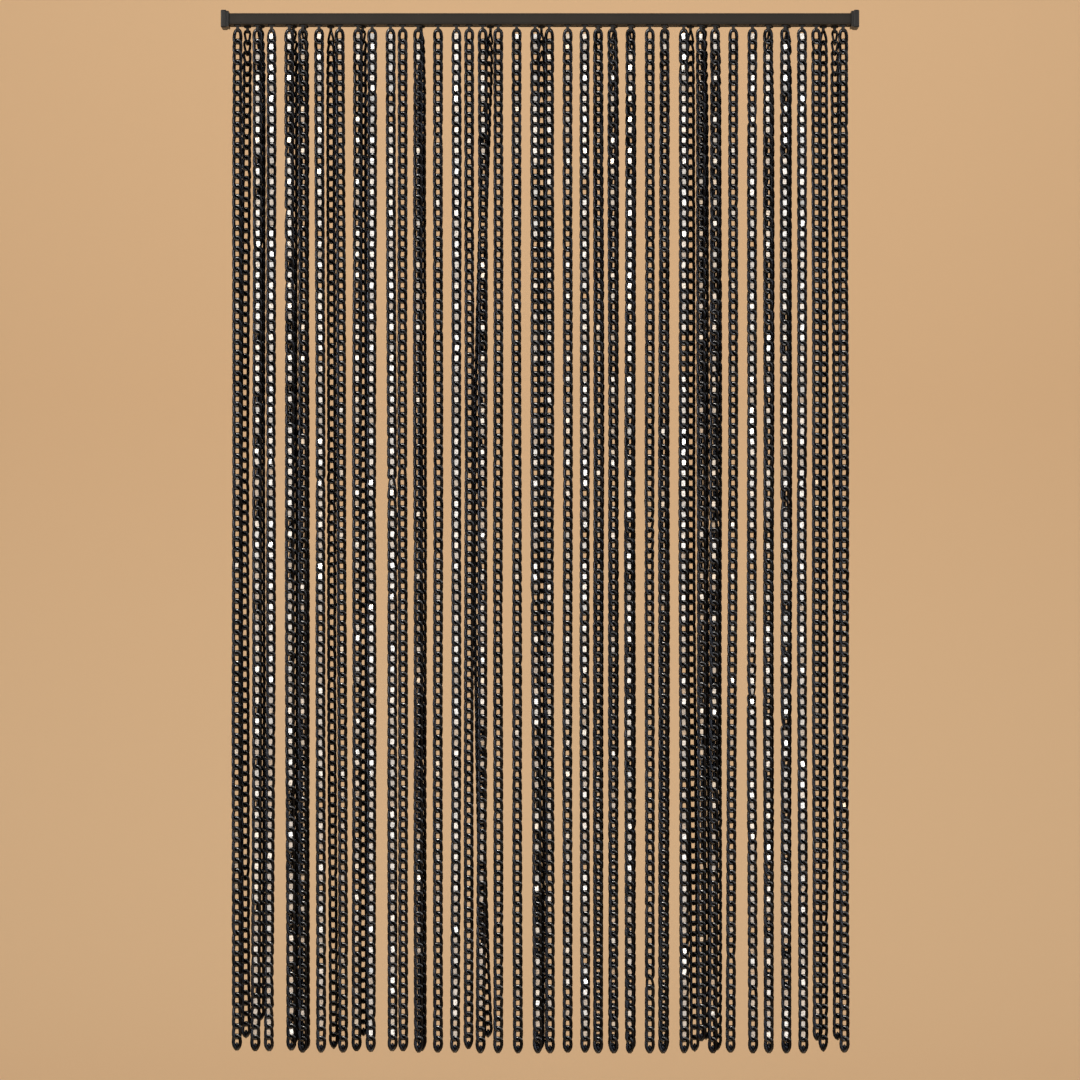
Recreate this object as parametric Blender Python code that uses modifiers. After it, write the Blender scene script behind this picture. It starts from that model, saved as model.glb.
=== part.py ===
"""Chain bead curtain on its head rail, hung against a wall.

Metres, +Z up. The origin is the centre of the rail's back face, which lies on the wall. The curtain hangs
down from it, and its front faces -Y. Two rows of chain strands hang from the rail, one behind the other.
Each row is one comb: a hanger strip that slides in its own channel of the rail, with a tooth for each strand.
"""

import bmesh
import bpy
from mathutils import Matrix

MM = 0.001
GAP = 0.3 * MM

# Head rail: an extrusion with two open channels, one for each row of strands.
WIDTH = 900 * MM
RAIL_HEIGHT = 16 * MM
RAIL_DEPTH = 30 * MM
RAIL_WALL = 1.6 * MM
RAIL_EDGE = 1.2 * MM
SLOT_WIDTH = 7.4 * MM
GROOVE_INSET = 2.4 * MM
GROOVE_WIDTH = 0.7 * MM
GROOVE_DEPTH = 0.5 * MM

# End caps: a little taller than the rail, and proud of its front face.
CAP_THICKNESS = 11 * MM
CAP_HEIGHT = 25 * MM
CAP_DEPTH = 34 * MM
CAP_EDGE = 1.8 * MM
COLLAR_THICKNESS = 3 * MM
COLLAR_STEP = 1.5 * MM
PLUG_LENGTH = 9 * MM
PLUG_DEPTH = 11.4 * MM
PLUG_HEIGHT = 9 * MM

# Strands: the outer width and depth of the chain, the hook's neck, and where each part of a tooth begins.
STRAND_WIDTH = 14 * MM
STRAND_DEPTH = 6 * MM
NECK_WIDTH = 4.2 * MM
FOOT_WIDTH = 10 * MM
FOOT_TOP = -8.4 * MM
FOOT_HEIGHT = 1.8 * MM
FOOT_SLOPE = 0.4 * MM
HANGER_THICKNESS = 3 * MM
HANGER_DEPTH = 11.6 * MM
ARCH_TOP = -12 * MM
ARCH_HEIGHT = 6 * MM
ARCH_SHOULDER = 1.6 * MM
MIDDLE = -720 * MM
TIP_WIDTH = 4 * MM
TIP_LENGTH = 9 * MM

# One line for each strand: its centre at the top, middle and bottom, and where its tip ends, in millimetres.
FRONT_STRANDS = """
    top    middle  bottom  end
    -427   -428    -428    -1457
    -399   -399    -402    -1458
    -379   -380    -383    -1458
    -354   -353    -351    -1457
    -335   -335    -335    -1460
    -312   -310    -309    -1460
    -283   -280    -278    -1460
    -257   -258    -259    -1458
    -237   -238    -239    -1459
    -211   -209    -208    -1458
    -194   -194    -193    -1458
    -172   -172    -171    -1460
    -144   -144    -144    -1460
    -118   -118    -120    -1460
    -100   -100    -101    -1455
     -81    -81     -84    -1461
     -59    -59     -59    -1461
     -33    -33     -31    -1461
      -7     -6      -3    -1461
      13     13      14    -1461
      39     39      39    -1460
      63     63      64    -1460
      82     82      82    -1461
     102    103     104    -1461
     128    126     127    -1461
     155    155     155    -1461
     176    174     174    -1461
     203    203     204    -1461
     227    228     228    -1444
     247    246     244    -1461
     273    272     269    -1460
     300    299     301    -1461
     322    322     323    -1461
     346    346     348    -1461
     370    370     372    -1461
     390    391     392    -1443
     428    429     430    -1460
"""
BACK_STRANDS = """
    top    middle  bottom  end
    -414   -418    -416    -1441
    -395   -395    -396    -1416
    -349   -349    -348    -1449
    -333   -333    -332    -1458
    -296   -295    -292    -1456
    -251   -251    -250    -1438
    -168   -167    -167    -1459
     -70    -88     -73    -1440
       2      2       0    -1458
      83     84      82    -1459
     105    105     103    -1459
     130    129     129    -1459
     177    177     176    -1459
     213    214     219    -1460
     232    233     235    -1443
     250    251     251    -1458
     325    325     324    -1459
     350    350     349    -1458
     401    402     401    -1460
     417    421     421    -1444
"""

BLACK_METAL = ("black_anodised_metal", (0.018, 0.018, 0.021), 0.28, 0.9)
BLACK_RAIL = ("black_satin_rail", (0.030, 0.028, 0.026), 0.45, 0.6)
BLACK_PLASTIC = ("black_moulded_plastic", (0.020, 0.020, 0.021), 0.40, 0.0)


def clear_scene():
    for thing in list(bpy.data.objects):
        bpy.data.objects.remove(thing, do_unlink=True)


def material(name, colour, roughness, metallic):
    made = bpy.data.materials.new(name)
    made.use_nodes = True
    shader = made.node_tree.nodes["Principled BSDF"]
    shader.inputs["Base Color"].default_value = (*colour, 1)
    shader.inputs["Roughness"].default_value = roughness
    shader.inputs["Metallic"].default_value = metallic
    return made


def table_rows(text):
    """The rows of a table, each as a dictionary of its columns' names, in metres."""
    head, *lines = text.strip().splitlines()
    names = head.split()
    return [dict(zip(names, (float(cell) * MM for cell in line.split()))) for line in lines]


def box(name, low, high, collection):
    bpy.ops.mesh.primitive_cube_add(size=1)
    made = bpy.context.object
    made.name = name
    made.data.transform(Matrix.Diagonal([b - a for a, b in zip(low, high)]).to_4x4())
    made.location = [(a + b) / 2 for a, b in zip(low, high)]
    for other in list(made.users_collection):
        other.objects.unlink(made)
    collection.objects.link(made)
    return made


def outline_solid(name, points, thickness, turn, collection):
    """A flat outline as a solid of this thickness, centred on its plane, which the turn stands up."""
    curve = bpy.data.curves.new(name, "CURVE")
    curve.dimensions = "2D"
    curve.fill_mode = "BOTH"
    curve.extrude = thickness / 2
    spline = curve.splines.new("POLY")
    spline.points.add(len(points) - 1)
    for point, (across, up) in zip(spline.points, points):
        point.co = (across, up, 0, 1)
    spline.use_cyclic_u = True
    drawn = bpy.data.objects.new(name + "_outline", curve)
    collection.objects.link(drawn)
    bpy.context.view_layer.update()
    graph = bpy.context.evaluated_depsgraph_get()
    mesh = bpy.data.meshes.new_from_object(drawn.evaluated_get(graph))
    mesh.name = name
    bpy.data.objects.remove(drawn, do_unlink=True)
    made = bpy.data.objects.new(name, mesh)
    made.matrix_world = turn
    collection.objects.link(made)
    weld(made)
    return made


def weld(thing):
    """Joins the loose caps of a filled curve to its sides."""
    work = bmesh.new()
    work.from_mesh(thing.data)
    bmesh.ops.remove_doubles(work, verts=work.verts, dist=1e-6)
    bmesh.ops.recalc_face_normals(work, faces=work.faces)
    work.to_mesh(thing.data)
    work.free()


def bevel(thing, width, segments):
    edge = thing.modifiers.new("rounded edges", "BEVEL")
    edge.width = width
    edge.segments = segments
    edge.limit_method = "ANGLE"


def union(thing, other, cutters):
    for holder in list(other.users_collection):
        holder.objects.unlink(other)
    cutters.objects.link(other)
    other.hide_render = True
    other.display_type = "WIRE"
    joined = thing.modifiers.new("joined to " + other.name, "BOOLEAN")
    joined.operation = "UNION"
    joined.object = other


def channel_centres():
    """How far in front of the wall the middle of each channel is: the back row's, then the front row's."""
    channel = (RAIL_DEPTH - 3 * RAIL_WALL) / 2
    return [RAIL_WALL + channel / 2, 2 * RAIL_WALL + 1.5 * channel]


def rail_outline():
    """The rail's section, as depth and height: up the back, along the two channels, and up the grooved front."""
    half = RAIL_HEIGHT / 2
    roof, floor = half - RAIL_WALL, RAIL_WALL - half
    channel = (RAIL_DEPTH - 3 * RAIL_WALL) / 2
    points = [
        (0, half),
        (0, -half),
    ]
    for centre in channel_centres():
        slot_near, slot_far = centre - SLOT_WIDTH / 2, centre + SLOT_WIDTH / 2
        near, far = centre - channel / 2, centre + channel / 2
        points += [
            (slot_near, -half),
            (slot_near, floor),
            (near, floor),
            (near, roof),
            (far, roof),
            (far, floor),
            (slot_far, floor),
            (slot_far, -half),
        ]
    groove = half - GROOVE_INSET
    front = [
        (RAIL_DEPTH - RAIL_EDGE, -half),
        (RAIL_DEPTH, RAIL_EDGE - half),
        (RAIL_DEPTH, -groove),
        (RAIL_DEPTH - GROOVE_DEPTH, -groove),
        (RAIL_DEPTH - GROOVE_DEPTH, GROOVE_WIDTH - groove),
        (RAIL_DEPTH, GROOVE_WIDTH - groove),
    ]
    mirrored = [(depth, -height) for depth, height in reversed(front)]
    return points + front + mirrored


def make_rail(parts):
    """The extrusion, from cap to cap. Its section stands in the YZ plane, with depth towards -Y."""
    turn = Matrix(((0, 0, -1), (-1, 0, 0), (0, 1, 0))).to_4x4()
    length = WIDTH - 2 * (CAP_THICKNESS + GAP)
    rail = outline_solid("head_rail", rail_outline(), length, turn, parts)
    rail.data.materials.append(material(*BLACK_RAIL))
    return rail


def make_cap(name, side, plastic, parts, cutters):
    """An end cap, side -1 or 1 along X, with a lower collar next to the rail and a plug in each channel."""
    outer, inner = WIDTH / 2, WIDTH / 2 - CAP_THICKNESS
    half = CAP_HEIGHT / 2
    ends = sorted((side * outer, side * (inner + COLLAR_THICKNESS)))
    cap = box(name, (ends[0], -CAP_DEPTH, -half), (ends[1], 0, half), parts)
    bevel(cap, CAP_EDGE, 3)
    collar = sorted((side * (outer - CAP_EDGE), side * inner))
    low = (collar[0], COLLAR_STEP - CAP_DEPTH, COLLAR_STEP - half)
    high = (collar[1], 0, half - COLLAR_STEP)
    union(cap, box(name + "_collar", low, high, cutters), cutters)
    for row, centre in zip(("back", "front"), channel_centres()):
        reach = sorted((side * (inner + 1 * MM), side * (inner - PLUG_LENGTH)))
        low = (reach[0], -centre - PLUG_DEPTH / 2, -PLUG_HEIGHT / 2 + 1 * MM)
        high = (reach[1], -centre + PLUG_DEPTH / 2, PLUG_HEIGHT / 2 + 1 * MM)
        union(cap, box(name + "_plug_" + row, low, high, cutters), cutters)
    cap.data.materials.append(plastic)
    return cap


def tooth_outline(strand):
    """One strand's outline, down its right side and up its left: hook's foot and neck, first link, body, tip."""
    half = STRAND_WIDTH / 2
    tip_start = strand["end"] + TIP_LENGTH
    right = [
        (strand["top"], NECK_WIDTH / 2, FOOT_TOP),
        (strand["top"], FOOT_WIDTH / 2, FOOT_TOP - FOOT_SLOPE),
        (strand["top"], FOOT_WIDTH / 2, FOOT_TOP - FOOT_HEIGHT + FOOT_SLOPE),
        (strand["top"], NECK_WIDTH / 2, FOOT_TOP - FOOT_HEIGHT),
        (strand["top"], NECK_WIDTH / 2, ARCH_TOP),
        (strand["top"], half - ARCH_SHOULDER, ARCH_TOP - ARCH_SHOULDER),
        (strand["top"], half, ARCH_TOP - ARCH_HEIGHT),
        (strand["middle"], half, MIDDLE),
        (strand["bottom"], half, tip_start),
        (strand["bottom"], half - ARCH_SHOULDER, tip_start - TIP_LENGTH / 2),
        (strand["bottom"], TIP_WIDTH / 2, strand["end"]),
    ]
    down = [(centre + out, height) for centre, out, height in right]
    up = [(centre - out, height) for centre, out, height in reversed(right)]
    return down + up


def comb_outline(strands, strip_end, strip_top, strip_bottom):
    """The comb: the hanger strip's core along the top, and a tooth for each strand from right to left."""
    points = [
        (-strip_end, strip_bottom),
        (-strip_end, strip_top),
        (strip_end, strip_top),
        (strip_end, strip_bottom),
    ]
    for strand in sorted(strands, key=lambda row: -row["top"]):
        points.append((strand["top"] + NECK_WIDTH / 2, strip_bottom))
        points += tooth_outline(strand)
        points.append((strand["top"] - NECK_WIDTH / 2, strip_bottom))
    return points


def make_comb(name, strands, depth, metal, parts, cutters):
    """A row of strands as one solid, with its hanger strip lying on the lips of the rail's channel."""
    lip_top = RAIL_WALL - RAIL_HEIGHT / 2
    low, high = lip_top + GAP, lip_top + GAP + HANGER_THICKNESS
    strip_end = WIDTH / 2 - CAP_THICKNESS - PLUG_LENGTH - 1 * MM
    core = HANGER_THICKNESS / 3
    points = comb_outline(strands, strip_end - core, high - core, low + core)
    turn = Matrix.Translation((0, -depth, 0)) @ Matrix(((1, 0, 0), (0, 0, -1), (0, 1, 0))).to_4x4()
    comb = outline_solid(name, points, STRAND_DEPTH, turn, parts)
    strip_low = (-strip_end, -depth - HANGER_DEPTH / 2, low)
    strip_high = (strip_end, -depth + HANGER_DEPTH / 2, high)
    union(comb, box(name + "_hanger_strip", strip_low, strip_high, cutters), cutters)
    comb.data.materials.append(metal)
    return comb


def main():
    clear_scene()
    parts = bpy.data.collections.new("chain_bead_curtain")
    cutters = bpy.data.collections.new("cutters")
    bpy.context.scene.collection.children.link(parts)
    bpy.context.scene.collection.children.link(cutters)
    plastic = material(*BLACK_PLASTIC)
    metal = material(*BLACK_METAL)
    back, front = channel_centres()
    make_rail(parts)
    make_cap("cap_left", -1, plastic, parts, cutters)
    make_cap("cap_right", 1, plastic, parts, cutters)
    make_comb("strands_front", table_rows(FRONT_STRANDS), front, metal, parts, cutters)
    make_comb("strands_back", table_rows(BACK_STRANDS), back, metal, parts, cutters)


main()
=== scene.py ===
"""The looks of the chain bead curtain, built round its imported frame.

Metres, +Z up. The origin is the middle of the head rail's back face, and the curtain's front faces -Y.
Each strand is one joined mesh of free curb links, hung from a hook in its row's channel of the rail.
"""

import math

import bmesh
import bpy
import numpy as np
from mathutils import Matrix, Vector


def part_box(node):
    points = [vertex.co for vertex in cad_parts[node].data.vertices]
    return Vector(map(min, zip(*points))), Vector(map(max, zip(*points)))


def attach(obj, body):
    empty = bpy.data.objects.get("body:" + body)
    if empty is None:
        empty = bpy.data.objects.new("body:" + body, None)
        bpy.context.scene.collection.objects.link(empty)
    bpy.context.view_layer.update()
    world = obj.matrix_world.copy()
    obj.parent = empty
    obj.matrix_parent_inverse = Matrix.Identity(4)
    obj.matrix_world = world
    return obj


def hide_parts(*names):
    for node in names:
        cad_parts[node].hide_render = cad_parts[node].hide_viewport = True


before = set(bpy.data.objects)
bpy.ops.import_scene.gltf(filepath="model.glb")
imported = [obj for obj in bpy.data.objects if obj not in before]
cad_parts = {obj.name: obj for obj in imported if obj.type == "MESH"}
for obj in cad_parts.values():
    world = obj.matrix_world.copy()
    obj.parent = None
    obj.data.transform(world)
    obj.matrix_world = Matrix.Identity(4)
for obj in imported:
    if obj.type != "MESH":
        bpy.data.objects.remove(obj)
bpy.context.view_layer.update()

MM = 0.001
NEARLY_ZERO = 1e-6
SEED = 57

# Chain: a link's outer width, its pitch, and its wire (across at the sides and at the ends, and in depth).
# Its corners are bent out of its plane, so that one link passes through the next: a point's depth there is
# CURB times its distances across and along. Its outline is a superellipse, where 2 is an ellipse and a
# higher power is squarer, and a strand's first link has a rounder top. The wire's change from end to side
# and the mark of wear and painted glint at its ends go by powers too.
LINK_WIDTH = 14.5 * MM
LINK_PITCH = 14.7 * MM
SIDE_WIRE = 4.9 * MM
END_WIRE = 4.5 * MM
WIRE_DEPTH = 3.1 * MM
CURB = 60.0
LINK_POWER = 3.0
ARCH_POWER = 2.3
WIRE_POWER = 1.5
WEAR_AND_GLINT_POWER = 5

# A strand's sway to the side and in depth, its slow and quick twist, the turn of a back strand's first
# links, which fades over a few links, and the most that any link turns. Twists and turns are in degrees.
# The waves of sway and twist are in radians from the top of the strand to its end.
SWAY = (0.5 * MM, 0.9 * MM)
SWAY_WAVES = (9, 7)
SLOW_TWIST, SLOW_TURNS = (4, 15), (5, 14)
QUICK_TWIST, QUICK_TURNS = (2, 6), (20, 40)
BACK_TURN, BACK_TURN_LINKS = 62, 5
MOST_TURN = 64

# Each link's own tilt about X, Y and Z, in degrees, and the share of links that are turned further about Z.
LINK_TILT = (2.0, 1.6, 5.0)
ODD_SHARE, ODD_TIMES = 0.16, 2.2

# Last link: wider, with a pointed lower end and a solid drop in it. On each side the end's outline is a
# cubic Bezier curve from the tip up, as shares of the link's half width and of its reach below its centre.
LAST_WIDTH = 14.8 * MM
TIP_DROP = 13.6 * MM
TIP_ACROSS = (0.0, 0.36, 1.0, 1.0)
TIP_DOWN = (1.0, 0.90, 0.52, 0.0)
DROP_FLATNESS = 0.72
DROP_ROWS = """
    down  radius
     0.6  0.3
     1.9  1.7
     4.0  2.5
     6.4  2.6
     8.8  1.9
    11.0  0.9
    12.3  0.3
"""

# Hooks: a strap bent round the first link, with a foot under the rail. The foot's levels are a share of its
# outline and of its thickness.
LINK_TOP = -12.0 * MM
STRAP_WIDTH = 4.0 * MM
STRAP_THICKNESS = 1.5 * MM
STRAP_GAP = 0.15 * MM
STRAP_CUT = 0.4 * MM
STRAP_BENDS = 8
STRAP_TOP = -4.6 * MM
FOOT_SIZE = (10.0 * MM, 9.6 * MM)
FOOT_CUT = 2.2 * MM
FOOT_TOP = -8.4 * MM
FOOT_THICKNESS = 1.9 * MM
FOOT_LEVELS = ((0.90, 0.0), (1.0, 0.25), (1.0, 0.7), (0.86, 1.0))

# Sliding strips: half their depth, their heights, the rib along the middle, the cut of their edges, how far
# they end inside the rail's end, and the share of the section that is left at each end.
STRIP_HALF_DEPTH = 5.8 * MM
STRIP_LOW, STRIP_HIGH = -6.1 * MM, -3.1 * MM
STRIP_RIB, STRIP_STEP = 2.0 * MM, 0.8 * MM
STRIP_CUT = 0.5 * MM
STRIP_INSET = 9.7 * MM
STRIP_END = 0.94
SHARP_ANGLE = math.radians(40)

# Bright beads: half sizes across, in depth and along the strand, the outline's sides and its superellipse
# power, the flat table's share of it, the tilt about X, Z and Y in degrees, the least and most scale
# (across, in depth and along), and the scale on a strand with few of them.
BEAD_HALF = (3.1 * MM, 1.7 * MM, 4.6 * MM)
BEAD_SIDES = 8
BEAD_POWER = 6.0
BEAD_TABLE = 0.86
BEAD_TILT = (5, 7, 4)
BEAD_SCALES = ([0.93, 0.9, 0.84], [1.05, 1.1, 1.06])
FEW_BEADS_SCALE = 0.80

# Each row's Y (the wall is at 0), the segments along a link's wire, the sides around it, and the frame's
# node that it stands for.
ROWS = {
    "front": {"depth": -22.1 * MM, "segments": 14, "sides": 6, "node": "strands_front"},
    "back": {"depth": -7.9 * MM, "segments": 12, "sides": 5, "node": "strands_back"},
}

# One line for each strand: its centre at the top, middle and bottom, where its tip ends, in millimetres,
# and the share of its windows that hold a bright bead. The places are those of the frame's teeth, and were
# read off the photo. The front row's bright column wasn't: it is another program's measurement of the
# photo, rounded. A few classes chosen by eye should take its place.
FRONT_STRANDS = """
    top    middle  bottom  end    bright
    -427   -428    -428    -1457  0.10
    -399   -399    -402    -1458  0.80
    -379   -380    -383    -1458  1.00
    -354   -353    -351    -1457  0.75
    -335   -335    -335    -1460  0.20
    -312   -310    -309    -1460  0.85
    -283   -280    -278    -1460  0.15
    -257   -258    -259    -1458  0.45
    -237   -238    -239    -1459  1.00
    -211   -209    -208    -1458  0.95
    -194   -194    -193    -1458  0.00
    -172   -172    -171    -1460  0.20
    -144   -144    -144    -1460  0.20
    -118   -118    -120    -1460  1.00
    -100   -100    -101    -1455  0.05
     -81    -81     -84    -1461  0.45
     -59    -59     -59    -1461  0.00
     -33    -33     -31    -1461  0.20
      -7     -6      -3    -1461  0.65
      13     13      14    -1461  0.40
      39     39      39    -1460  0.40
      63     63      64    -1460  0.90
      82     82      82    -1461  0.10
     102    103     104    -1461  0.30
     128    126     127    -1461  0.70
     155    155     155    -1461  0.00
     176    174     174    -1461  0.10
     203    203     204    -1461  0.90
     227    228     228    -1444  0.20
     247    246     244    -1461  0.40
     273    272     269    -1460  0.15
     300    299     301    -1461  0.85
     322    322     323    -1461  0.60
     346    346     348    -1461  0.80
     370    370     372    -1461  1.00
     390    391     392    -1443  0.10
     428    429     430    -1460  0.05
"""
BACK_STRANDS = """
    top    middle  bottom  end    bright
    -414   -418    -416    -1441  0
    -395   -395    -396    -1416  0
    -349   -349    -348    -1449  0
    -333   -333    -332    -1458  0
    -296   -295    -292    -1456  0
    -251   -251    -250    -1438  0
    -168   -167    -167    -1459  0
     -70    -88     -73    -1440  0
       2      2       0    -1458  0
      83     84      82    -1459  0
     105    105     103    -1459  0
     130    129     129    -1459  0
     177    177     176    -1459  0
     213    214     219    -1460  0
     232    233     235    -1443  0
     250    251     251    -1458  0
     325    325     324    -1459  0
     350    350     349    -1458  0
     401    402     401    -1460  0
     417    421     421    -1444  0
"""

# The height of the tables' middle column, and how far a row may be from the frame's.
MIDDLE = -720 * MM
FRAME_SLACK = 1 * MM

random = np.random.default_rng(SEED)


def table_rows(text):
    """The rows of a table, each as a dictionary of its columns' names."""
    head, *lines = text.strip().splitlines()
    return [dict(zip(head.split(), map(float, line.split()))) for line in lines]


# ---------------------------------------------------------------- meshes


def grid_faces(rings, sides, closed):
    """Quads between neighbouring rings of points, and from the last ring to the first if closed."""
    spans = rings if closed else rings - 1
    ring, side = np.meshgrid(np.arange(spans), np.arange(sides), indexing="ij")
    after, beside = (ring + 1) % rings, (side + 1) % sides
    corners = (ring * sides + side, ring * sides + beside, after * sides + beside, after * sides + side)
    return np.stack([corner.ravel() for corner in corners], axis=1)


def tube_faces(rings, sides, start=0):
    """A tube's quads and the face at each of its ends. Its first point has the number start."""
    walls = (grid_faces(rings, sides, closed=False) + start).tolist()
    first = [start + side for side in range(sides)]
    last = [start + (rings - 1) * sides + side for side in range(sides)]
    return walls + [first[::-1], last]


def cut_rectangle(half_width, half_height, cut):
    """The corners of a rectangle with its four corners cut off."""
    return [
        (half_width, half_height - cut),
        (half_width - cut, half_height),
        (cut - half_width, half_height),
        (-half_width, half_height - cut),
        (-half_width, cut - half_height),
        (cut - half_width, -half_height),
        (half_width - cut, -half_height),
        (half_width, cut - half_height),
    ]


def face_outward(mesh):
    """Turns each closed shell of a mesh right side out."""
    shells = bmesh.new()
    shells.from_mesh(mesh)
    bmesh.ops.recalc_face_normals(shells, faces=shells.faces)
    shells.to_mesh(mesh)
    shells.free()


def piece(name, places, faces, material, smooth=True, closed=True, **values):
    """A mesh object from points, faces and one list of values for each named attribute of its points.

    A closed piece is one or more closed shells, in any winding. An open one keeps its faces as they are.
    """
    mesh = bpy.data.meshes.new(name)
    mesh.from_pydata(places.tolist(), [], [list(face) for face in faces])
    for attribute, numbers in values.items():
        layer = mesh.attributes.new(attribute, "FLOAT", "POINT")
        layer.data.foreach_set("value", np.asarray(numbers, np.float32))
    if closed:
        face_outward(mesh)
    mesh.polygons.foreach_set("use_smooth", [smooth] * len(mesh.polygons))
    mesh.materials.append(material)
    mesh.update()
    made = bpy.data.objects.new(name, mesh)
    bpy.context.scene.collection.objects.link(made)
    return made


def turn(axis, angle):
    """The matrix that turns points by this angle about X, Y or Z."""
    a, b = {"x": (1, 2), "y": (2, 0), "z": (0, 1)}[axis]
    matrix = np.eye(3)
    matrix[a, a] = matrix[b, b] = math.cos(angle)
    matrix[a, b], matrix[b, a] = -math.sin(angle), math.sin(angle)
    return matrix


def signed_power(values, power):
    return np.sign(values) * np.abs(values) ** power


def sweep_ring(line, across, depth, sides):
    """Points round a closed centre line that faces -Y, with a section this wide across and this deep."""
    ahead = np.roll(line, -1, axis=0) - np.roll(line, 1, axis=0)
    ahead /= np.linalg.norm(ahead, axis=1, keepdims=True)
    outward = np.cross(ahead, np.array([0.0, 1.0, 0.0]))
    outward /= np.linalg.norm(outward, axis=1, keepdims=True)
    through = np.cross(outward, ahead)
    angle = 2 * np.pi * np.arange(sides) / sides
    out = np.cos(angle)[None, :, None] * outward[:, None, :] * across[:, None, None] / 2
    deep = np.sin(angle)[None, :, None] * through[:, None, :] * depth / 2
    return line[:, None, :] + out + deep


def link_points(segments, sides, pitch, kind):
    """A link's points and their mark of rubbing and painted glint, round its own centre. The kind is first,
    middle or last.
    """
    angle = 2 * np.pi * np.arange(segments) / segments
    cosine, sine = np.cos(angle), np.sin(angle)
    width = LAST_WIDTH if kind == "last" else LINK_WIDTH
    half_width = (width - SIDE_WIRE) / 2
    half_length = (pitch + END_WIRE) / 2
    top = ARCH_POWER if kind == "first" else LINK_POWER
    power = np.where(sine > 0, top, LINK_POWER)
    x = half_width * signed_power(cosine, 2 / power)
    z = half_length * signed_power(sine, 2 / power)
    if kind == "last":
        low = sine < -NEARLY_ZERO
        share = np.abs(2 * angle[low] / np.pi - 3)
        x[low] = np.sign(cosine[low]) * bezier(share, *TIP_ACROSS) * half_width
        z[low] = -bezier(share, *TIP_DOWN) * (TIP_DROP - END_WIRE / 2)
    line = np.stack([x, -CURB * x * z, z], axis=1)
    across = END_WIRE + (SIDE_WIRE - END_WIRE) * np.abs(cosine) ** WIRE_POWER
    points = sweep_ring(line, across, WIRE_DEPTH, sides)
    # Wear and painted glint: the inner side of the wire at each link's ends gets a mark that stands both
    # for rubbing and for a lighter painted glint.
    inner = np.clip(-np.cos(2 * np.pi * np.arange(sides) / sides), 0, 1)
    wear_and_glint = np.abs(sine)[:, None] ** WEAR_AND_GLINT_POWER * inner[None, :]
    return points.reshape(-1, 3), wear_and_glint.ravel()


def bezier(share, start, near, far, end):
    """A cubic Bezier curve's value at this share of its way, from start to end."""
    rest = 1 - share
    return rest**3 * start + 3 * rest**2 * share * near + 3 * rest * share**2 * far + share**3 * end


def drop_points(sides):
    """The solid drop inside a last link: flattened, and pointed at its lower end."""
    angle = 2 * np.pi * np.arange(sides) / sides
    rings = []
    for row in table_rows(DROP_ROWS):
        radius = row["radius"] * MM
        x, y = radius * np.cos(angle), DROP_FLATNESS * radius * np.sin(angle)
        rings.append(np.stack([x, y, np.full(sides, -row["down"] * MM)], axis=1))
    return np.concatenate(rings)


def link_turns(share, slow_start, quick_start, row):
    """The matrix that turns each link, from its share of the way down and where its two twists start."""
    count = len(share)
    twist = random.uniform(*SLOW_TWIST) * np.sin(random.uniform(*SLOW_TURNS) * share + slow_start)
    twist += random.uniform(*QUICK_TWIST) * np.sin(random.uniform(*QUICK_TURNS) * share + quick_start)
    if row == "back":
        twist += BACK_TURN * random.choice([-1, 1]) * np.exp(-np.arange(count) / BACK_TURN_LINKS)
    tilts = random.normal(0, 1, (count, 3)) * LINK_TILT
    tilts[:, 2] *= np.where(random.uniform(0, 1, count) < ODD_SHARE, ODD_TIMES, 1.0)
    turns = []
    for about_z, (about_x, about_y, extra) in zip(twist, tilts):
        about_z = max(-MOST_TURN, min(MOST_TURN, about_z + extra))
        angles = {"z": about_z, "y": about_y, "x": about_x}
        matrix = np.eye(3)
        for axis, angle in angles.items():
            matrix = matrix @ turn(axis, math.radians(angle))
        turns.append(matrix)
    return turns


def strand_shape(strand, row):
    """Where each link of a strand hangs and how it is turned: (pitch, centres, turning matrices).

    The pitch is the nearest to LINK_PITCH that brings the tip of the last link to the strand's end.
    """
    end = strand["end"] * MM
    usual_first = LINK_TOP - LINK_PITCH / 2 - END_WIRE
    usual_length = usual_first - TIP_DROP - end
    spans = round(usual_length / LINK_PITCH)
    first = LINK_TOP - END_WIRE - usual_length / spans / 2
    pitch = (first - TIP_DROP - end) / spans
    heights = first - pitch * np.arange(spans + 1)
    route = [strand[place] * MM for place in ("top", "middle", "bottom")]
    bow = np.polyfit([LINK_TOP, MIDDLE, end], route, 2)
    share = np.arange(spans + 1) / spans
    starts = random.uniform(0, 2 * np.pi, 4)
    swell = np.sin(np.pi * share)
    x = np.polyval(bow, heights) + SWAY[0] * swell * np.sin(SWAY_WAVES[0] * share + starts[0])
    y = ROWS[row]["depth"] + SWAY[1] * swell * np.sin(SWAY_WAVES[1] * share + starts[1])
    turns = link_turns(share, starts[2], starts[3], row)
    return pitch, np.stack([x, y, heights], axis=1), turns


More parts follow.
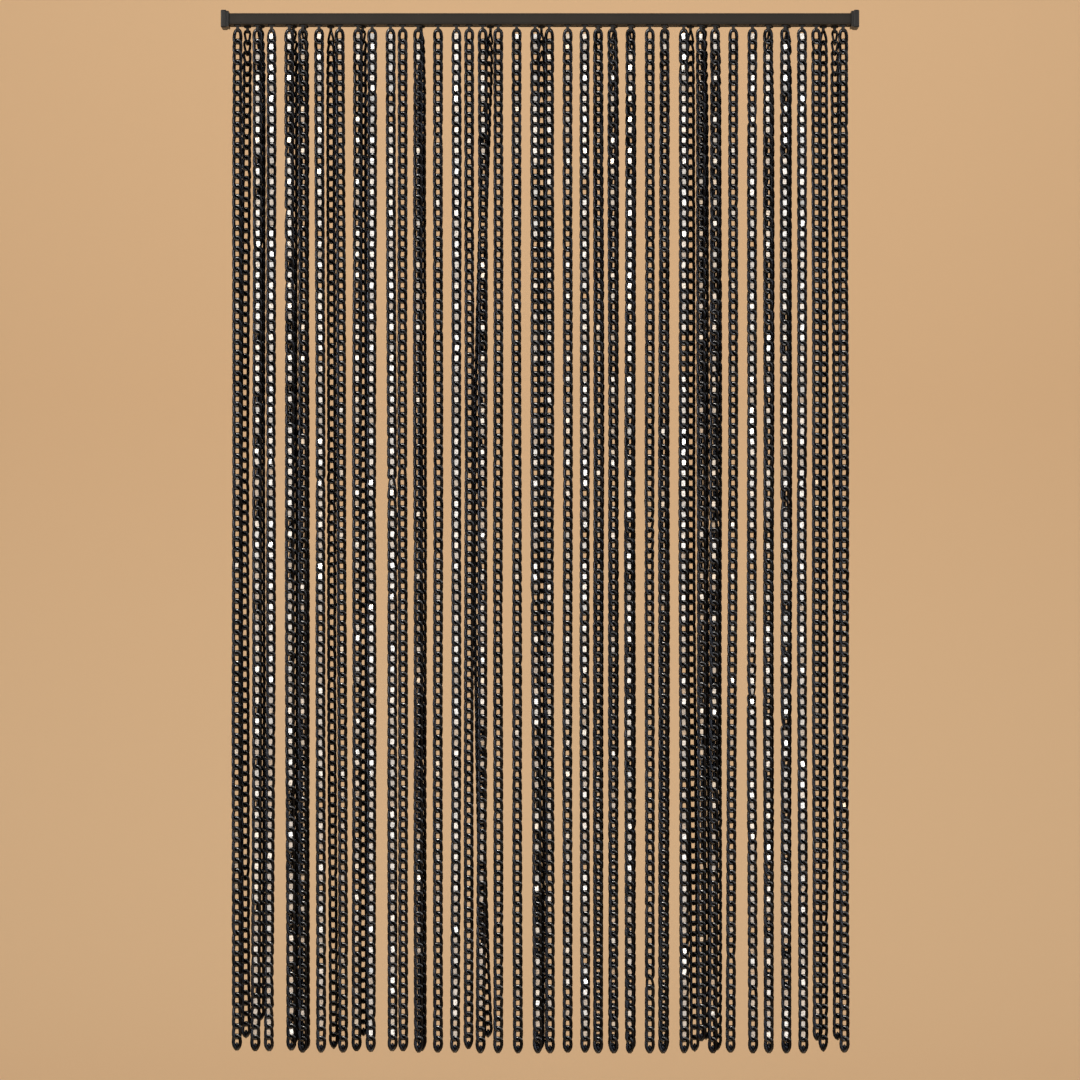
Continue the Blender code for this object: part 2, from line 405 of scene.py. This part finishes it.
def make_strand(name, strand, row, chain):
    """One strand as a joined mesh, with its mark of rubbing and painted glint and each link's own tone.

    Returns its links' centres and turning matrices.
    """
    segments, sides = ROWS[row]["segments"], ROWS[row]["sides"]
    pitch, centres, turns = strand_shape(strand, row)
    kinds = {kind: link_points(segments, sides, pitch, kind) for kind in ("first", "middle", "last")}
    faces = grid_faces(segments, sides, closed=True)
    order = ["first"] + ["middle"] * (len(centres) - 2) + ["last"]
    places, wear_and_glint_parts, tones, quads = [], [], [], []
    for index, (kind, centre, matrix) in enumerate(zip(order, centres, turns)):
        points, wear_and_glint = kinds[kind]
        quads.append(faces + len(points) * index)
        places.append(points @ matrix.T + centre)
        wear_and_glint_parts.append(wear_and_glint * random.uniform(0.5, 1.0))
        tones.append(np.full(len(points), random.uniform(0, 1)))
    count = sum(map(len, places))
    drop = drop_points(sides)
    places.append(drop @ turns[-1].T + centres[-1])
    wear_and_glint_parts.append(np.zeros(len(drop)))
    tones.append(np.full(len(drop), 0.5))
    all_faces = np.concatenate(quads).tolist() + tube_faces(len(drop) // sides, sides, count)
    values = {"wear_and_glint": np.concatenate(wear_and_glint_parts), "tone": np.concatenate(tones)}
    made = piece(name, np.concatenate(places), all_faces, chain, **values)
    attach(made, "root")
    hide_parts(ROWS[row]["node"])
    return centres, turns


def bead_points():
    """A bead like a cut stone: a flat table in front and behind, with a ring of facets round each."""
    angle = 2 * np.pi * (np.arange(BEAD_SIDES) + 0.5) / BEAD_SIDES
    x = signed_power(np.cos(angle), 2 / BEAD_POWER)
    z = signed_power(np.sin(angle), 2 / BEAD_POWER)
    outline = np.stack([x, np.zeros(BEAD_SIDES), z], axis=1)
    levels = []
    for depth, share in ((-1, BEAD_TABLE), (0, 1), (1, BEAD_TABLE)):
        levels.append((outline * share + [0, depth, 0]) * BEAD_HALF)
    return np.concatenate(levels)


def make_beads(name, holders, bright):
    """All the bright beads as one mesh.

    A holder is a link's centre, its turning matrix and the share of bright windows in its strand.
    """
    shape = bead_points()
    places, faces, tones = [], [], []
    for index, (centre, matrix, share) in enumerate(holders):
        about_x, about_z, about_y = np.radians(random.normal(0, 1, 3) * BEAD_TILT)
        tilt = turn("z", about_z) @ turn("x", about_x) @ turn("y", about_y)
        scale = random.uniform(*BEAD_SCALES) * (FEW_BEADS_SCALE + (1 - FEW_BEADS_SCALE) * share)
        places.append((shape * scale) @ (matrix @ tilt).T + centre)
        faces += tube_faces(len(shape) // BEAD_SIDES, BEAD_SIDES, index * len(shape))
        tones.append(np.full(len(shape), 0.5 * share + 0.5 * random.uniform(0, 1)))
    made = piece(name, np.concatenate(places), faces, bright, smooth=False, tone=np.concatenate(tones))
    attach(made, "root")


def strap_points(depth):
    """A hook's strap: down in front of the first link's top, round under it and up behind it."""
    middle = LINK_TOP - END_WIRE / 2
    radius = END_WIRE / 2 + STRAP_THICKNESS / 2 + STRAP_GAP
    bends = [math.pi * step / STRAP_BENDS for step in range(STRAP_BENDS + 1)]
    route = [(-radius, STRAP_TOP), (-radius, FOOT_TOP)]
    route += [(-radius * math.cos(bend), middle - radius * math.sin(bend)) for bend in bends]
    route += [(radius, FOOT_TOP), (radius, STRAP_TOP)]
    route = np.array(route)
    ahead = np.gradient(route, axis=0)
    ahead /= np.linalg.norm(ahead, axis=1, keepdims=True)
    outward = np.stack([ahead[:, 1], -ahead[:, 0]], axis=1)
    section = cut_rectangle(STRAP_WIDTH / 2, STRAP_THICKNESS / 2, STRAP_CUT)
    rings = []
    for (y, z), (out_y, out_z) in zip(route, outward):
        rings += [(across, y + out * out_y + depth, z + out * out_z) for across, out in section]
    return np.array(rings), len(route), len(section)


def foot_points(depth):
    """A hook's foot: a plate with cut corners and a soft rim, just under the rail."""
    outline = cut_rectangle(FOOT_SIZE[0] / 2, FOOT_SIZE[1] / 2, FOOT_CUT)
    rings = []
    for share, level in FOOT_LEVELS:
        height = FOOT_TOP - FOOT_THICKNESS * level
        rings += [(share * x, share * y + depth, height) for x, y in outline]
    return np.array(rings), len(FOOT_LEVELS), len(outline)


def make_hooks(name, strands, depth, material):
    """One row's hooks, with their feet, as one mesh."""
    places, faces, count = [], [], 0
    for strand in strands:
        for points, rings, sides in (strap_points(depth), foot_points(depth)):
            places.append(points + [strand["top"] * MM, 0, 0])
            faces += tube_faces(rings, sides, count)
            count += len(points)
    made = piece(name, np.concatenate(places), faces, material)
    made.data.set_sharp_from_angle(angle=SHARP_ANGLE)
    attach(made, "root")


def make_strip(name, depth, end, material):
    """A row's sliding strip, lying on the lips of its channel, with a raised rib along its middle."""
    half_depth, low, high = STRIP_HALF_DEPTH, STRIP_LOW, STRIP_HIGH
    rib, step, cut = STRIP_RIB, STRIP_STEP, STRIP_CUT
    section = [
        (cut - half_depth, low),
        (-half_depth, low + cut),
        (-half_depth, high - step - cut),
        (cut - half_depth, high - step),
        (-rib, high - step),
        (-rib + cut, high),
        (rib - cut, high),
        (rib, high - step),
        (half_depth - cut, high - step),
        (half_depth, high - step - cut),
        (half_depth, low + cut),
        (half_depth - cut, low),
    ]
    stations = [-end, cut - end, end - cut, end]
    shares = [STRIP_END, 1.0, 1.0, STRIP_END]
    rings = []
    for x, share in zip(stations, shares):
        rings += [(x, depth + share * y, z) for y, z in section]
    made = piece(name, np.array(rings), tube_faces(len(stations), len(section)), material)
    made.data.set_sharp_from_angle(angle=SHARP_ANGLE)
    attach(made, "root")


# ---------------------------------------------------------------- materials


class Shader:
    """A material's node tree, with short ways to add to it."""

    def __init__(self, name, **sockets):
        self.material = bpy.data.materials.new(name)
        self.material.use_nodes = True
        self.tree = self.material.node_tree
        self.shader = self.tree.nodes["Principled BSDF"]
        for socket, value in sockets.items():
            self.shader.inputs[socket.replace("_", " ")].default_value = value
        self.places = self.tree.nodes.new("ShaderNodeTexCoord").outputs["Object"]

    def node(self, kind, **settings):
        made = self.tree.nodes.new(kind)
        for name, value in settings.items():
            setattr(made, name, value)
        return made

    def link(self, source, target):
        self.tree.links.new(source, target)

    def noise(self, scale, detail=3.0, roughness=0.5):
        """Noise with this many grains to a metre, from 0 to 1."""
        made = self.node("ShaderNodeTexNoise")
        made.inputs["Scale"].default_value = scale
        made.inputs["Detail"].default_value = detail
        made.inputs["Roughness"].default_value = roughness
        self.link(self.places, made.inputs["Vector"])
        return made.outputs["Fac"]

    def attribute(self, name):
        return self.node("ShaderNodeAttribute", attribute_name=name).outputs["Fac"]

    def spread(self, value, low, high, start=0.0, end=1.0):
        """The value from start to end, mapped to low to high."""
        made = self.node("ShaderNodeMapRange")
        for name, number in (("From Min", start), ("From Max", end), ("To Min", low), ("To Max", high)):
            made.inputs[name].default_value = number
        self.link(value, made.inputs["Value"])
        return made.outputs["Result"]

    def combine(self, operation, first, second):
        """The sum, product or the like of two values. Each is a socket or a number."""
        made = self.node("ShaderNodeMath", operation=operation)
        for socket, value in zip(made.inputs, (first, second)):
            if isinstance(value, (int, float)):
                socket.default_value = value
            else:
                self.link(value, socket)
        return made.outputs["Value"]

    def mix(self, share, first, second):
        """A colour between two others. Each is a socket or (red, green, blue)."""
        made = self.node("ShaderNodeMix", data_type="RGBA")
        self.link(share, made.inputs["Factor"])
        for name, value in (("A", first), ("B", second)):
            sockets = [s for s in made.inputs if s.name == name and s.type == "RGBA"]
            if isinstance(value, tuple):
                sockets[0].default_value = (*value, 1)
            else:
                self.link(value, sockets[0])
        return [s for s in made.outputs if s.type == "RGBA"][0]

    def into(self, socket, source):
        self.link(source, self.shader.inputs[socket])

    def bump(self, height, distance, strength):
        """Bumps of this height, 0 to 1 standing for this distance in metres."""
        made = self.node("ShaderNodeBump")
        made.inputs["Strength"].default_value = strength
        made.inputs["Distance"].default_value = distance
        self.link(height, made.inputs["Height"])
        self.into("Normal", made.outputs["Normal"])


def chain_material():
    """Black anodised aluminium wire: glossy, a little uneven, and rubbed thin where links touch; those
    patches are lightened further as painted glints.
    """
    made = Shader("chain_black_anodised", Metallic=1.0, Specular_Tint=(0.12, 0.12, 0.13, 1.0))
    cloudy = made.noise(260, 3)
    fine = made.noise(2600, 2)
    tone = made.attribute("tone")
    # Patches where the link ends are rubbed to bare metal; their light colour is also a painted glint on
    # the crossbars.
    rubbed = made.spread(made.noise(700, 4, 0.7), 0, 1, 0.36, 0.58)
    worn_and_glint = made.combine("MULTIPLY", made.attribute("wear_and_glint"), rubbed)
    black = made.mix(tone, (0.006, 0.0066, 0.0085), (0.017, 0.018, 0.022))
    dusty = made.mix(made.spread(cloudy, 0, 0.3, 0.5, 0.8), black, (0.045, 0.043, 0.042))
    # Bare metal colour, made light enough to serve as a painted highlight too.
    bare_metal_and_glint = (0.52, 0.51, 0.49)
    made.into("Base Color", made.mix(worn_and_glint, dusty, bare_metal_and_glint))
    rough = made.spread(cloudy, 0.12, 0.30, 0.25, 0.75)
    made.into("Roughness", made.combine("ADD", rough, made.combine("MULTIPLY", tone, 0.08)))
    made.bump(fine, 0.00006, 0.5)
    return made.material


def bright_material():
    """Polished silver, with faint smears and each bead a little lighter or duller than the next."""
    made = Shader("bead_polished_silver", Metallic=0.7, IOR=1.6)
    tone = made.attribute("tone")
    silver = made.mix(tone, (0.58, 0.43, 0.27), (0.80, 0.80, 0.79))
    smears = made.spread(made.noise(520, 4, 0.65), 0, 1, 0.50, 0.62)
    dull = made.combine("MULTIPLY", smears, 0.75)
    made.into("Base Color", made.mix(dull, silver, (0.16, 0.15, 0.14)))
    rough = made.combine("ADD", made.combine("MULTIPLY", smears, 0.12), made.spread(tone, 0.34, 0.24))
    made.into("Roughness", rough)
    made.bump(made.noise(1800, 2), 0.00004, 0.4)
    return made.material


def rail_material():
    """Satin black powder coat over the extruded rail, with its fine grain and a few rubbed patches."""
    made = Shader("rail_powder_coat", IOR=1.5, Specular_IOR_Level=0.16)
    grain = made.noise(2400, 3, 0.6)
    patches = made.noise(14, 4, 0.6)
    coat = made.mix(made.spread(patches, 0, 1, 0.35, 0.7), (0.015, 0.0118, 0.0085), (0.020, 0.016, 0.012))
    specks = made.spread(made.noise(900, 2), 0, 0.5, 0.66, 0.8)
    made.into("Base Color", made.mix(specks, coat, (0.045, 0.041, 0.036)))
    rough = made.spread(patches, 0.36, 0.50, 0.3, 0.7)
    made.into("Roughness", made.combine("ADD", rough, made.spread(grain, -0.04, 0.04)))
    made.bump(grain, 0.00012, 0.5)
    return made.material


def cap_material():
    """Moulded black plastic with a fine spark-eroded grain and small scuffs."""
    made = Shader("cap_moulded_plastic", IOR=1.46, Specular_IOR_Level=0.25)
    grain = made.noise(3200, 2, 0.5)
    scuffs = made.spread(made.noise(120, 5, 0.7), 0, 1, 0.58, 0.75)
    made.into("Base Color", made.mix(scuffs, (0.013, 0.012, 0.011), (0.034, 0.032, 0.030)))
    rough = made.spread(grain, 0.36, 0.46)
    made.into("Roughness", made.combine("ADD", rough, made.combine("MULTIPLY", scuffs, 0.1)))
    made.bump(grain, 0.00015, 0.6)
    return made.material


def hanger_material():
    """Matt black nylon of the hooks and strips, slightly rubbed."""
    made = Shader("hanger_nylon", IOR=1.5, Specular_IOR_Level=0.3)
    grain = made.noise(1500, 3, 0.6)
    rubbed = made.spread(made.noise(300, 4, 0.6), 0, 1, 0.55, 0.8)
    made.into("Base Color", made.mix(rubbed, (0.008, 0.008, 0.009), (0.024, 0.023, 0.023)))
    made.into("Roughness", made.spread(grain, 0.38, 0.54))
    made.bump(grain, 0.0001, 0.5)
    return made.material


def carry_over(node, material):
    """Gives a kept part of the frame its finish."""
    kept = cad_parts[node]
    kept.data.materials.clear()
    kept.data.materials.append(material)


# ---------------------------------------------------------------- stage, lights and camera

# Camera: its distance from the front row, the width that it sees there, its height, its sensor's width in
# millimetres, and how far it sees.
CAMERA_DISTANCE = 5.6
VIEW_WIDTH = 1.525
VIEW_HEIGHT = -0.735
SENSOR = 36.0
CLIP_END = 60

# The stage: the floor's height and the depths of its flat part, the sweep behind it, and its other limits.
FLOOR = -2.6
FLOOR_DEPTHS = (-30.0, -8.0, 0.0)
SWEEP_START, SWEEP_RADIUS, SWEEP_STEPS = 6.9, 2.4, 12
STAGE_HALF, STAGE_TOP = 30.0, 9.0
FLOOR_COLOUR = (0.645, 0.445, 0.262)

# Lights: where they aim, and their colours.
CURTAIN_MIDDLE = (0, 0, -0.7)
BACKDROP_MIDDLE = (0, 9.2, 0.2)
KEY_COLOUR = (1.0, 0.97, 0.93)
FILL_COLOUR = (0.88, 0.94, 1.0)
EDGE_COLOUR = (0.90, 0.95, 1.0)
FRONT_COLOUR = (0.98, 0.99, 1.0)
BACKDROP_COLOUR = (1.0, 0.98, 0.95)
WORLD_COLOUR = (0.86, 0.84, 0.81, 1)
WORLD_STRENGTH = 0.62


def make_stage():
    """A plain pale floor that sweeps up well behind the curtain."""
    profile = [(depth, FLOOR) for depth in FLOOR_DEPTHS]
    for step in range(SWEEP_STEPS + 1):
        angle = math.pi / 2 * step / SWEEP_STEPS
        depth = SWEEP_START + SWEEP_RADIUS * math.sin(angle)
        profile.append((depth, FLOOR + SWEEP_RADIUS * (1 - math.cos(angle))))
    profile.append((SWEEP_START + SWEEP_RADIUS, STAGE_TOP))
    places = [(x, y, z) for y, z in profile for x in (-STAGE_HALF, STAGE_HALF)]
    faces = [(2 * i, 2 * i + 1, 2 * i + 3, 2 * i + 2) for i in range(len(profile) - 1)]
    made = Shader("floor_pale_warm", Roughness=0.9, Specular_IOR_Level=0.2)
    made.shader.inputs["Base Color"].default_value = (*FLOOR_COLOUR, 1)
    floor = piece("floor", np.array(places), faces, made.material, closed=False)


def make_light(name, place, target, size, power, colour):
    """An area light that the camera doesn't see. Its size is across and up, and its power in watts."""
    lamp = bpy.data.lights.new(name, "AREA")
    lamp.shape = "RECTANGLE"
    lamp.size, lamp.size_y = size
    lamp.energy = power
    lamp.color = colour
    made = bpy.data.objects.new(name, lamp)
    made.location = place
    aim = np.subtract(target, place)
    made.rotation_euler = Vector(aim).to_track_quat("-Z", "Y").to_euler()
    made.visible_camera = False
    bpy.context.scene.collection.objects.link(made)


def make_lights():
    """Soft lights in front of the curtain and at its sides, one for the backdrop, and an even sky."""
    make_light("key", (-2.6, -3.0, 1.3), CURTAIN_MIDDLE, (1.0, 1.6), 130, KEY_COLOUR)
    make_light("fill", (3.0, -2.6, -0.2), CURTAIN_MIDDLE, (0.8, 2.4), 55, FILL_COLOUR)
    make_light("edge_left", (-3.4, -0.9, 0.1), CURTAIN_MIDDLE, (0.3, 3.0), 30, EDGE_COLOUR)
    make_light("edge_right", (3.4, -0.9, 0.1), CURTAIN_MIDDLE, (0.3, 3.0), 30, EDGE_COLOUR)
    make_light("front", (0.0, -8.5, 0.4), CURTAIN_MIDDLE, (5.0, 3.4), 110, FRONT_COLOUR)
    make_light("backdrop", (0.0, 3.2, 3.4), BACKDROP_MIDDLE, (5.0, 1.6), 190, BACKDROP_COLOUR)
    world = bpy.data.worlds.new("soft_studio")
    world.use_nodes = True
    sky = world.node_tree.nodes["Background"]
    sky.inputs["Color"].default_value = WORLD_COLOUR
    sky.inputs["Strength"].default_value = WORLD_STRENGTH
    bpy.context.scene.world = world


def make_camera():
    """Straight on, level with the curtain's middle, from across a room."""
    lens = bpy.data.cameras.new("camera")
    lens.sensor_width = SENSOR
    depth = ROWS["front"]["depth"]
    lens.lens = SENSOR * CAMERA_DISTANCE / VIEW_WIDTH
    lens.clip_end = CLIP_END
    made = bpy.data.objects.new("camera", lens)
    made.location = (0, depth - CAMERA_DISTANCE, VIEW_HEIGHT)
    made.rotation_euler = (math.radians(90), 0, 0)
    bpy.context.scene.collection.objects.link(made)
    bpy.context.scene.camera = made


# ---------------------------------------------------------------- the curtain


def check_against_frame(row, strands):
    """Stops if a row of the table isn't where the frame's comb hangs."""
    low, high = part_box(ROWS[row]["node"])
    lowest = min(strand["end"] for strand in strands) * MM
    middle = (low.y + high.y) / 2
    off_row = abs(middle - ROWS[row]["depth"])
    if abs(lowest - low.z) > FRAME_SLACK or off_row > FRAME_SLACK:
        raise ValueError(f"the {row} strands don't match the frame")


def make_curtain():
    """Every piece of the curtain, row by row, and its finishes."""
    chain, bright, hanger = chain_material(), bright_material(), hanger_material()
    carry_over("head_rail", rail_material())
    plastic = cap_material()
    for cap in ("cap_left", "cap_right"):
        carry_over(cap, plastic)
    rail_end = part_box("head_rail")[1].x
    holders = []
    for row, text in (("front", FRONT_STRANDS), ("back", BACK_STRANDS)):
        strands = table_rows(text)
        check_against_frame(row, strands)
        for number, strand in enumerate(strands, 1):
            centres, turns = make_strand(f"strand_{row}_{number:02d}", strand, row, chain)
            filled = random.uniform(0, 1, len(centres) - 1) < strand["bright"]
            for centre, matrix, full in zip(centres, turns, filled):
                if full:
                    holders.append((centre, matrix, strand["bright"]))
        depth = ROWS[row]["depth"]
        make_hooks(f"hooks_{row}", strands, depth, hanger)
        make_strip(f"hanger_strip_{row}", depth, rail_end - STRIP_INSET, hanger)
    make_beads("bright_beads", holders, bright)


bpy.context.scene.view_settings.view_transform = "Standard"
make_curtain()
make_stage()
make_lights()
make_camera()
